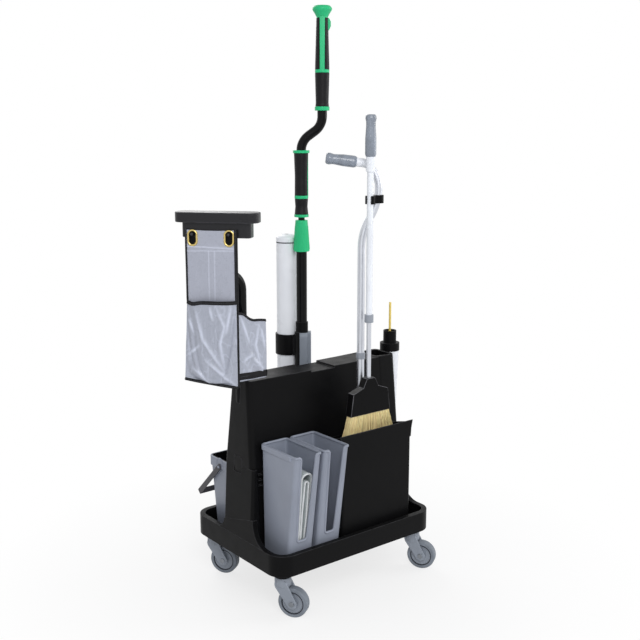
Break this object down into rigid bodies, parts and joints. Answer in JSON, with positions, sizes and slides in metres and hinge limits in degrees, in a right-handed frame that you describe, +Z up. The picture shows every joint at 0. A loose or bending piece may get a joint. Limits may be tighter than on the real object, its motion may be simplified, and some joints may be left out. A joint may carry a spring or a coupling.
{
  "type": "janitor cart",
  "caption": "Compact wheeled cleaning cart: tray on swivel casters, central tower, bins, bucket, upright dustpan set, flat mop and hung bag",
  "frame": {"origin": "on the floor, under the middle of the base tray", "axes": "+X along the tray towards the brush end, +Y towards the bucket and mop side, +Z up"},
  "size_m": [0.6761, 0.4388, 1.4602],
  "materials": {
    "black_plastic": "fine-grained moulded",
    "dark_rubber": "soft matt",
    "bin_grey": "satin moulded",
    "caster_grey": "satin moulded",
    "tyre_grey": "matt",
    "steel": "plain",
    "aluminium": "satin anodised",
    "white_enamel": "satin",
    "grip_grey": "satin moulded",
    "green_plastic": "glossy",
    "white_plastic": "satin",
    "bag_fabric": "woven",
    "cloth_fabric": "terry",
    "brass": "polished",
    "straw_fibre": "plain",
    "yellow_plastic": "satin"
  },
  "bodies": {
    "cart": {"base_tray": "black_plastic", "tower": "black_plastic", "tower_latches": "black_plastic", "caster_stems": "steel"},
    "caster_fl": {"caster_fork_fl": "caster_grey", "wheel_axle_fl": "steel"},
    "wheel_fl": {"wheel_hub_fl": "caster_grey", "wheel_tyre_fl": "tyre_grey"},
    "caster_fr": {"caster_fork_fr": "caster_grey", "wheel_axle_fr": "steel"},
    "wheel_fr": {"wheel_hub_fr": "caster_grey", "wheel_tyre_fr": "tyre_grey"},
    "caster_rl": {"caster_fork_rl": "caster_grey", "wheel_axle_rl": "steel"},
    "wheel_rl": {"wheel_hub_rl": "caster_grey", "wheel_tyre_rl": "tyre_grey"},
    "caster_rr": {"caster_fork_rr": "caster_grey", "wheel_axle_rr": "steel"},
    "wheel_rr": {"wheel_hub_rr": "caster_grey", "wheel_tyre_rr": "tyre_grey"},
    "mast": {"mast": "black_plastic", "handle": "black_plastic", "bag": "bag_fabric", "bag_eyelets": "brass"},
    "bin_left": {"bin_left": "bin_grey", "folded_cloth": "cloth_fabric"},
    "bin_right": {"bin_right": "bin_grey"},
    "bucket": {"bucket": "bin_grey", "bucket_band": "black_plastic"},
    "bail": {"bucket_bail": "black_plastic"},
    "dustpan": {"pan_shell": "black_plastic", "pan_tube": "aluminium", "pan_sleeve": "grip_grey", "pan_elbow": "white_plastic", "pan_grip": "grip_grey", "broom_clip": "black_plastic"},
    "broom": {"broom_head": "black_plastic", "broom_bristles": "straw_fibre", "broom_rod": "aluminium", "broom_sleeve": "grip_grey", "broom_tube": "white_enamel", "broom_collar": "white_plastic", "broom_grip": "grip_grey"},
    "mop": {"mop_pad": "cloth_fabric", "mop_plate": "green_plastic", "mop_joint": "black_plastic", "mop_lower_tube": "black_plastic", "mop_cradle": "black_plastic", "mop_side_panel": "bin_grey"},
    "bottle": {"mop_bottle": "white_plastic", "mop_bottle_cap": "white_plastic"},
    "mop_lock": {"mop_collar": "green_plastic"},
    "mop_upper": {"mop_bent_tube": "black_plastic", "mop_mid_grip": "green_plastic", "mop_mid_pads": "dark_rubber", "mop_top_grip": "green_plastic", "mop_top_pads": "dark_rubber"},
    "trigger": {"mop_trigger": "green_plastic"},
    "brush_holder": {"brush_holder": "white_plastic"},
    "brush": {"brush": "yellow_plastic"}
  },
  "joints": [
    {"name": "swivel_fl", "type": "hinge", "parent": "cart", "child": "caster_fl", "pos_m": [-0.214, -0.152, 0.092], "axis": [0, 0, 1], "continuous": true},
    {"name": "spin_fl", "type": "hinge", "parent": "caster_fl", "child": "wheel_fl", "pos_m": [-0.19916, -0.17575, 0.0375], "axis": [0.848, 0.5299, 0], "continuous": true},
    {"name": "swivel_fr", "type": "hinge", "parent": "cart", "child": "caster_fr", "pos_m": [0.214, -0.152, 0.092], "axis": [0, 0, 1], "continuous": true},
    {"name": "spin_fr", "type": "hinge", "parent": "caster_fr", "child": "wheel_fr", "pos_m": [0.22884, -0.17575, 0.0375], "axis": [0.848, 0.5299, 0], "continuous": true},
    {"name": "swivel_rl", "type": "hinge", "parent": "cart", "child": "caster_rl", "pos_m": [-0.214, 0.152, 0.092], "axis": [0, 0, 1], "continuous": true},
    {"name": "spin_rl", "type": "hinge", "parent": "caster_rl", "child": "wheel_rl", "pos_m": [-0.19916, 0.12826, 0.0375], "axis": [0.848, 0.5299, 0], "continuous": true},
    {"name": "swivel_rr", "type": "hinge", "parent": "cart", "child": "caster_rr", "pos_m": [0.214, 0.152, 0.092], "axis": [0, 0, 1], "continuous": true},
    {"name": "spin_rr", "type": "hinge", "parent": "caster_rr", "child": "wheel_rr", "pos_m": [0.22884, 0.12826, 0.0375], "axis": [0.848, 0.5299, 0], "continuous": true},
    {"name": "mast_swivel", "type": "hinge", "parent": "cart", "child": "mast", "pos_m": [-0.218, 0.004, 0.572], "axis": [0, 0, 1], "range_deg": [-35, 35]},
    {"name": "bin_left_lift", "type": "slide", "parent": "cart", "child": "bin_left", "axis": [0, 0, 1], "range_m": [0, 0.3]},
    {"name": "bin_right_lift", "type": "slide", "parent": "cart", "child": "bin_right", "axis": [0, 0, 1], "range_m": [0, 0.3]},
    {"name": "bucket_lift", "type": "slide", "parent": "cart", "child": "bucket", "axis": [0, 0, 1], "range_m": [0, 0.25]},
    {"name": "bail_swing", "type": "hinge", "parent": "bucket", "child": "bail", "pos_m": [-0.155, 0.1195, 0.2993], "axis": [1, 0, 0], "range_deg": [0, 156]},
    {"name": "dustpan_lift", "type": "slide", "parent": "cart", "child": "dustpan", "axis": [0, 0, 1], "range_m": [0, 0.3]},
    {"name": "broom_lift", "type": "slide", "parent": "dustpan", "child": "broom", "axis": [0, 0, 1], "range_m": [0, 0.27]},
    {"name": "mop_lift", "type": "slide", "parent": "cart", "child": "mop", "axis": [0, 0, 1], "range_m": [0, 0.17]},
    {"name": "bottle_lift", "type": "slide", "parent": "mop", "child": "bottle", "axis": [0, 0, 1], "range_m": [0, 0.45]},
    {"name": "collar_twist", "type": "hinge", "parent": "mop", "child": "mop_lock", "pos_m": [0.048, 0.113, 0.881], "axis": [0, 0, 1], "range_deg": [-90, 90]},
    {"name": "mop_telescope", "type": "slide", "parent": "mop", "child": "mop_upper", "axis": [0, 0, 1], "range_m": [0, 0.25]},
    {"name": "trigger_press", "type": "slide", "parent": "mop_upper", "child": "trigger", "axis": [-0.788, 0.6157, 0], "range_m": [0, 0.0025], "stiffness_N_per_m": 600, "springref_m": -0.003},
    {"name": "holder_lift", "type": "slide", "parent": "cart", "child": "brush_holder", "axis": [0, 0, 1], "range_m": [0, 0.1]},
    {"name": "brush_lift", "type": "slide", "parent": "brush_holder", "child": "brush", "axis": [0, 0, 1], "range_m": [0, 0.35]}
  ]
}
